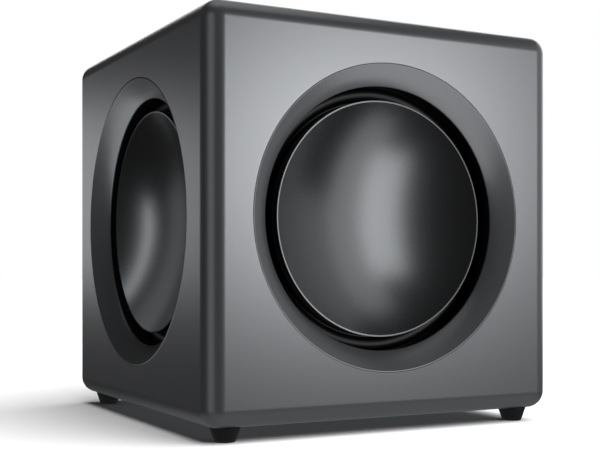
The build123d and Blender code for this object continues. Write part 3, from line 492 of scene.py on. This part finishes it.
spider_reach = {"woofer": (28.0, 58.0), "left_radiator": (21.5, 47.0), "right_radiator": (21.5, 47.0)}
resin_cotton = woven("resin_dipped_cotton", "#9A7B45", thread=0.6, relief=0.08)
for unit in units:
    nothing_selected()
    spider = frame["nodes"][f"{unit}_spider"].copy()
    spider.data = spider.data.copy()
    spider.name = f"{unit}_cloth"
    spider.parent = None
    for key in list(spider.keys()):
        del spider[key]
    bpy.context.scene.collection.objects.link(spider)
    spider.select_set(True)
    bpy.context.view_layer.objects.active = spider
    bpy.ops.object.mode_set(mode="EDIT")
    bpy.ops.mesh.select_all(action="SELECT")
    bpy.ops.mesh.remove_doubles(threshold=0.001 * MM)
    bpy.ops.object.mode_set(mode="OBJECT")
    bpy.ops.object.shade_smooth_by_angle(angle=math.radians(40))
    paint(spider, resin_cotton)
    follow(spider, unit, *spider_reach[unit])
    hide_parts(f"{unit}_spider")

# ---- Bass unit's cone and motor ------------------------------------------------------------------
# A pulp cone carries the dish; its voice coil is copper wire on a polyimide tube, in a ferrite motor's gap.
# The ferrite is charcoal and slightly rough, and the steel plates are zinc plated with a cool sheen.

paper_pulp = finish("paper_pulp", "#2E2B28", 0.88, 0.0, grain=1.2, relief=0.06, spread=0.25)
polyimide = finish("polyimide_film", "#A8641C", 0.30, 0.0, grain=4.0, relief=0.005, spread=0.08)
sintered_ferrite = finish("sintered_ferrite", "#2B2C2E", 0.62, 0.0, grain=0.5, relief=0.02, spread=0.18)
zinc_plate = finish("bright_zinc_plate", "#B9BDC2", 0.30, 1.0, grain=0.9, relief=0.006, spread=0.07)


def wound(name, code, pitch, direction, roughness=0.28, metallic=1.0):
    """Wire wound side by side, at a real pitch in millimetres, along one axis."""
    material = finish(name, code, roughness, metallic, grain=1.5, relief=0.004, spread=0.10)
    tree = material.node_tree
    place = add_node(tree, "ShaderNodeTexCoord").outputs["Object"]
    turns = add_node(tree, "ShaderNodeTexWave", {"Vector": place, "Scale": 2 * math.pi / 20 / (pitch * MM)},
                     wave_type="BANDS", bands_direction=direction).outputs["Fac"]
    principled = next(n for n in tree.nodes if n.type == "BSDF_PRINCIPLED")
    fine = next(n for n in tree.nodes if n.type == "BUMP")
    wires = add_node(tree, "ShaderNodeBump", {
        "Height": turns, "Strength": 1.0, "Distance": 0.15 * MM, "Normal": fine.outputs["Normal"]})
    tree.links.new(wires.outputs["Normal"], principled.inputs["Normal"])
    return material


coat_nodes(paper_pulp, "woofer_cone")
coat_nodes(polyimide, "voice_coil_former")
coat_nodes(wound("enamelled_copper", "#B4602C", pitch=0.5, direction="Y"), "voice_coil")
coat_nodes(sintered_ferrite, "magnet_ring")
coat_nodes(zinc_plate, "magnet_top_plate", "pole_and_back_plate")
coat_nodes(finish("tinned_brass", "#C9B27A", 0.28, 1.0, grain=0.5, relief=0.004, spread=0.08),
           "woofer_terminals")

# ---- Passive radiators' hubs and weights ---------------------------------------------------------
# A glass-filled nylon hub ties each side dish to its spider and carries a turned steel tuning weight.

glass_nylon = finish("glass_filled_nylon", "#19191A", 0.48, 0.0, grain=0.6, relief=0.02, spread=0.2)
coat_nodes(glass_nylon, "left_radiator_hub", "right_radiator_hub")
coat_nodes(zinc_plate, "left_radiator_weight", "right_radiator_weight")

# ---- Amplifier plate and heat sink ---------------------------------------------------------------
# A 3 mm aluminium plate with a black textured powder coat, and a black anodised extruded heat sink on it.
# The coat is a fine leathery pebble; the extrusion shows faint lines along its fins.

textured_coat = finish("textured_powder_coat", "#1A1A1B", 0.55, 0.0, grain=1.1, relief=0.09, spread=0.22)
coat_nodes(textured_coat, "amplifier_plate")


def drawn(name, code, roughness, metallic, line, stretch, relief, spread=0.15):
    """Fine lines of a real width, in millimetres, drawn out along one axis by a die or a turning tool."""
    material = finish(name, code, roughness, metallic, grain=line, relief=relief, spread=spread)
    tree = material.node_tree
    noise = next(n for n in tree.nodes if n.type == "TEX_NOISE")
    place = next(n for n in tree.nodes if n.type == "TEX_COORD").outputs["Object"]
    mapping = add_node(tree, "ShaderNodeMapping", {"Vector": place, "Scale": stretch})
    tree.links.new(mapping.outputs["Vector"], noise.inputs["Vector"])
    return material


coat_nodes(drawn("black_anodised_extrusion", "#1C1C1E", 0.38, 0.7, line=0.5, stretch=(1, 1, 0.03),
                 relief=0.02), "heat_sink")

# ---- Volume and crossover controls ---------------------------------------------------------------
# Fluted ABS knobs on nickel-plated shafts, over printed dials; the pots are nickel-plated steel cans.
# White ink fills the knob's pointer slot, and the dial's ticks are screen printed on the plate.

knob_plastic = finish("moulded_abs_knob", "#1D1D1E", 0.36, 0.0, grain=0.5, relief=0.008, spread=0.12)
nickel = finish("nickel_plate", "#BDB8AE", 0.22, 1.0, grain=0.6, relief=0.004, spread=0.06)
white_ink = finish("white_screen_ink", "#DADAD6", 0.55, 0.0, grain=0.4, relief=0.01, spread=0.05)
tick_count, sweep = 11, 300
tick_inner, tick_length, tick_width, ink_height = 11.0, 2.2, 0.5, 0.06
pointer_slot_fill = 0.3
pointer_middle, pointer_length, pointer_width = 5.2, 4.4, 1.2
plate_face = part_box("amplifier_plate")[1].y


def ink_bar(name, middle, angle, radius, length, width, face):
    """A printed bar that points away from a middle on the rear, clockwise from 0 degrees straight down."""
    nothing_selected()
    bpy.ops.mesh.primitive_cube_add(size=1)
    bar = bpy.context.object
    bar.name = name
    bar.scale = (width * MM, ink_height * MM, length * MM)
    bpy.ops.object.transform_apply(scale=True)
    edge = bar.modifiers.new("edge", "BEVEL")
    edge.width = ink_height * MM * 0.4
    edge.segments = 2
    a = math.radians(angle)
    bar.rotation_euler = (0, -a, 0)
    bar.location = (middle.x + math.sin(a) * radius * MM, face + ink_height * MM / 2,
                    middle.z - math.cos(a) * radius * MM)
    apply_all(bar)
    return bar


for control in ("volume", "crossover"):
    coat_nodes(knob_plastic, f"{control}_knob")
    coat_nodes(nickel, f"{control}_shaft")
    knob_low, knob_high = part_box(f"{control}_knob")
    knob_middle = (knob_low + knob_high) / 2
    ticks = [
        ink_bar(f"{control}_tick", knob_middle, sweep * i / (tick_count - 1),
                tick_inner + tick_length / 2, tick_length, tick_width, plate_face)
        for i in range(tick_count)
    ]
    nothing_selected()
    for tick in ticks:
        tick.select_set(True)
    bpy.context.view_layer.objects.active = ticks[0]
    bpy.ops.object.join()
    ticks[0].name = f"{control}_dial"
    paint(ticks[0], white_ink)
    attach(ticks[0], "root")
    pointer = ink_bar(f"{control}_pointer", knob_middle, 0, pointer_middle, pointer_length, pointer_width,
                      knob_high.y - pointer_slot_fill * MM)
    paint(pointer, white_ink)
    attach(pointer, f"{control}_control")
coat_nodes(nickel, "control_pots")

# ---- Slide switches and lamp ---------------------------------------------------------------------
# Two slide switches with pale grey acetal sliders, and a domed lamp of diffused green epoxy.

coat_nodes(nickel, "slide_switches")
coat_nodes(finish("grey_acetal", "#C8C8C4", 0.40, 0.0, grain=0.5, relief=0.01, spread=0.05),
           "phase_slider", "standby_slider")
coat_nodes(finish("diffused_green_epoxy", "#4FA35A", 0.18, 0.0, grain=1.0, relief=0.003, spread=0.08,
                  **{"Transmission Weight": 0.25, "IOR": 1.54}), "status_lamp")

# ---- Input sockets -------------------------------------------------------------------------------
# Three pressed brass phono sockets, flash plated in gold, which stays bright over faint turning marks.

coat_nodes(drawn("gold_plated_brass", "#B8933F", 0.30, 1.0, line=0.4, stretch=(1, 0.1, 1), relief=0.004,
                 spread=0.06), "input_jacks")

# ---- Mains inlet and rocker ----------------------------------------------------------------------
# A nylon inlet and rocker frame with a fine spark-eroded grain, nickel-plated blades and a glossy rocker.

coat_nodes(finish("spark_eroded_nylon", "#171718", 0.52, 0.0, grain=0.4, relief=0.02, spread=0.18),
           "mains_inlet", "rocker_frame")
coat_nodes(nickel, "inlet_blades")
coat_nodes(finish("polished_nylon", "#121213", 0.20, 0.0, grain=3.0, relief=0.003, spread=0.10),
           "power_rocker")

# ---- Circuit board, transformer, leads and wadding -----------------------------------------------
# The amplifier board stands on nylon pillars behind the plate, above a toroidal transformer.
# Polyester wadding lines the sides of the box; it is a pale, matt tangle of fibres.

coat_nodes(finish("green_solder_mask", "#1E5A35", 0.32, 0.0, grain=1.5, relief=0.02, spread=0.25),
           "circuit_board")
coat_nodes(finish("white_nylon", "#D4D2CA", 0.50, 0.0, grain=0.8, relief=0.01, spread=0.05),
           "board_standoffs")
coat_nodes(finish("capacitor_sleeve", "#1F2430", 0.30, 0.0, grain=2.0, relief=0.01, spread=0.12),
           "board_parts")
coat_nodes(wound("varnished_winding", "#9C5A2A", pitch=0.9, direction="DIAGONAL", roughness=0.35),
           "transformer")
coat_nodes(zinc_plate, "transformer_fixing")
coat_nodes(finish("pvc_insulation", "#7A1E1C", 0.38, 0.0, grain=2.5, relief=0.006, spread=0.08),
           "internal_leads")
coat_nodes(drawn("polyester_wadding", "#D2D0C8", 0.95, 0.0, line=1.4, stretch=(1, 0.25, 0.6), relief=0.5,
                 spread=0.18), "wadding")

# ---- Studio --------------------------------------------------------------------------------------
# A plain pale floor and upright soft boxes all round, with level ones above and below.
# Each box lights the cabinet, the trim rings or the dishes, and a soft sun lights only the floor.

bpy.ops.mesh.primitive_plane_add(size=40)
floor = bpy.context.object
floor.name = "floor"
floor_paint = bpy.data.materials.new("pale_floor")
floor_paint.use_nodes = True
floor_paint.node_tree.nodes["Principled BSDF"].inputs["Base Color"].default_value = linear("#F4F4F4")
floor_paint.node_tree.nodes["Principled BSDF"].inputs["Roughness"].default_value = 1.0
floor_paint.node_tree.nodes["Principled BSDF"].inputs["Specular IOR Level"].default_value = 0.0
floor.data.materials.append(floor_paint)
floor.visible_diffuse = False
floor.visible_glossy = False
floor.visible_shadow = False

world = bpy.data.worlds.new("studio")
bpy.context.scene.world = world
world.use_nodes = True
sky = world.node_tree
sky.nodes.clear()
dim = add_node(sky, "ShaderNodeBackground", {"Color": (1, 1, 1, 1), "Strength": 0.03})
bright = add_node(sky, "ShaderNodeBackground", {"Color": (1, 1, 1, 1), "Strength": 1.0})
seen = add_node(sky, "ShaderNodeLightPath")
choice = sky.nodes.new("ShaderNodeMixShader")
sky.links.new(seen.outputs["Is Camera Ray"], choice.inputs[0])
sky.links.new(dim.outputs["Background"], choice.inputs[1])
sky.links.new(bright.outputs["Background"], choice.inputs[2])
add_node(sky, "ShaderNodeOutputWorld", {"Surface": choice.outputs["Shader"]})


def group(name, *pieces):
    """A collection that a lamp's light is kept to, as flags and cards keep it in a studio."""
    collection = bpy.data.collections.new(name)
    for piece in pieces:
        collection.objects.link(piece)
    return collection


hollows = [o for o in bpy.data.objects if o.name.endswith(("_bowl", "_roll"))]
side_hollows = [o for o in hollows if "radiator" in o.name]
rings = [o for o in bpy.data.objects if o.name.endswith("_trim")]
rest = [o for o in bpy.data.objects if o.type == "MESH" and o is not floor and o not in hollows + rings]
body_only = group("body_only", *rest)
bowls_only = group("bowls_only", *hollows)
side_bowls = group("side_bowls", *side_hollows)
rings_only = group("rings_only", *rings)
floor_only = group("floor_only", floor)

nothing_selected()
bpy.ops.object.light_add(type="SUN", rotation=(math.radians(22), math.radians(20), 0))
floor_sun = bpy.context.object
floor_sun.name = "floor_sun"
floor_sun.data.angle = math.radians(80)
floor_sun.data.energy = 5.4
floor_sun.light_linking.receiver_collection = floor_only


def soft_box(name, azimuth, distance, width, bottom, top, radiance, receivers=None):
    """An upright soft box that faces the cabinet; azimuth 0 is in front and positive to the right."""
    a = math.radians(azimuth)
    away = Vector((math.sin(a), -math.cos(a), 0))
    spot = cabinet_middle + away * distance
    spot.z = (bottom + top) / 2
    nothing_selected()
    bpy.ops.object.light_add(type="AREA", location=spot)
    lamp = bpy.context.object
    lamp.name = name
    lamp.rotation_euler = away.to_track_quat("Z", "Y").to_euler()
    lamp.data.shape = "RECTANGLE"
    lamp.data.size = width
    lamp.data.size_y = top - bottom
    lamp.data.energy = radiance * math.pi * width * (top - bottom)
    lamp.visible_camera = False
    if receivers:
        lamp.light_linking.receiver_collection = receivers
    return lamp


soft_box("key", 26, 1.5, 0.50, 0.10, 0.58, 6.6, body_only)
soft_box("edge_fill", -62, 1.5, 0.9, -0.3, 0.9, 0.45, body_only)
soft_box("back", -164, 1.8, 1.1, 0.08, 0.50, 1.15, body_only)
soft_box("tall_key", 18, 1.5, 0.56, -0.70, 0.95, 1.95, bowls_only)
soft_box("tall_side", 38, 1.5, 0.66, -1.3, 1.6, 0.72, bowls_only)
soft_box("strip", -114, 1.5, 0.14, 0.0, 1.2, 3.0, side_bowls)
soft_box("side_glow", -50, 1.5, 1.2, -0.2, 1.2, 0.45, side_bowls)
soft_box("side_back", -150, 1.5, 0.9, 0.0, 1.2, 0.30, side_bowls)
soft_box("far_side_glow", 110, 1.5, 1.6, -0.2, 1.2, 0.45, side_bowls)
soft_box("ring_key", 27, 1.5, 0.9, -0.6, 1.0, 1.5, rings_only)
soft_box("fill", 75, 1.5, 1.5, 0.0, 1.5, 0.35)
soft_box("rear_fill", 152, 1.5, 1.5, 0.2, 1.7, 1.9, body_only)
soft_box("right_fill", 115, 1.5, 1.3, 0.0, 1.5, 1.0, body_only)


def level_box(name, height, length, radiance, receivers, up):
    """A level soft box above or below the cabinet."""
    nothing_selected()
    bpy.ops.object.light_add(type="AREA", location=(cabinet_middle.x, cabinet_middle.y, height))
    lamp = bpy.context.object
    lamp.name = name
    lamp.rotation_euler = (math.radians(180) if up else 0, 0, 0)
    lamp.data.size = length
    lamp.data.energy = radiance * math.pi * length**2
    lamp.visible_camera = False
    lamp.light_linking.receiver_collection = receivers
    return lamp


level_box("ceiling", 1.6, 1.4, 0.60, body_only, up=False)
level_box("ring_ceiling", 1.6, 1.6, 0.35, rings_only, up=False)
level_box("ring_floor", -0.5, 2.4, 0.95, rings_only, up=True)
soft_box("ring_side", 125, 1.5, 1.2, -0.3, 0.9, 0.8, rings_only)
level_box("under_glow", -0.5, 2.4, 0.20, body_only, up=True)
